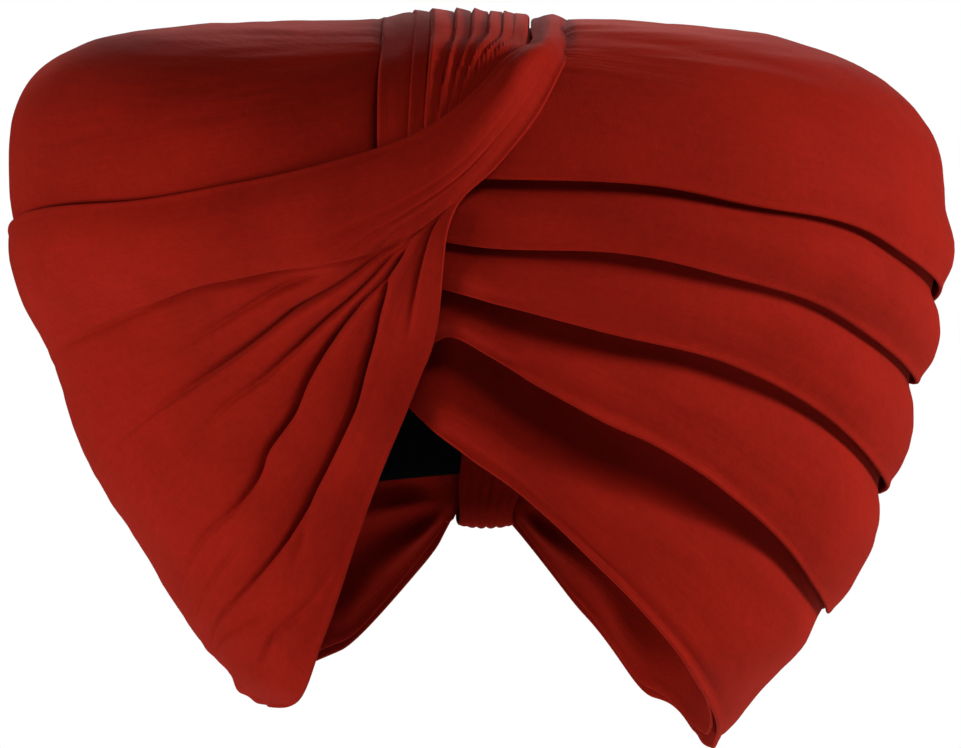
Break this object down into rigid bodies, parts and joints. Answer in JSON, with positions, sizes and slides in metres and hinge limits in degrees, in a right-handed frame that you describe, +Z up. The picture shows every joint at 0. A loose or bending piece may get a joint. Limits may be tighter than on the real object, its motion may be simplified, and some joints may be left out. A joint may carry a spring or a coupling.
{
  "type": "pagri turban",
  "caption": "Ready-wound cotton turban: overlapping wraps on one side, a gathered drape fanning out from the brow on the other, pleats over the crown and a knot at the nape.",
  "frame": {"origin": "middle of the inside top of the inner cap, where the crown of the head sits", "axes": "+Z up, the brow faces -Y, +X towards the wearer's left ear"},
  "size_m": [0.297, 0.2928, 0.2371],
  "materials": {
    "cotton": "matte red cotton voile, wound in soft folds",
    "lining": "matte black lining"
  },
  "bodies": {
    "root": {"inner_cap": "lining", "under_wrap": "cotton", "left_wrap_1": "cotton", "left_wrap_2": "cotton", "left_wrap_3": "cotton", "left_wrap_4": "cotton", "left_wrap_5": "cotton", "right_wrap": "cotton", "crown_pleats": "cotton", "front_drape": "cotton", "nape_knot": "cotton"}
  },
  "joints": []
}
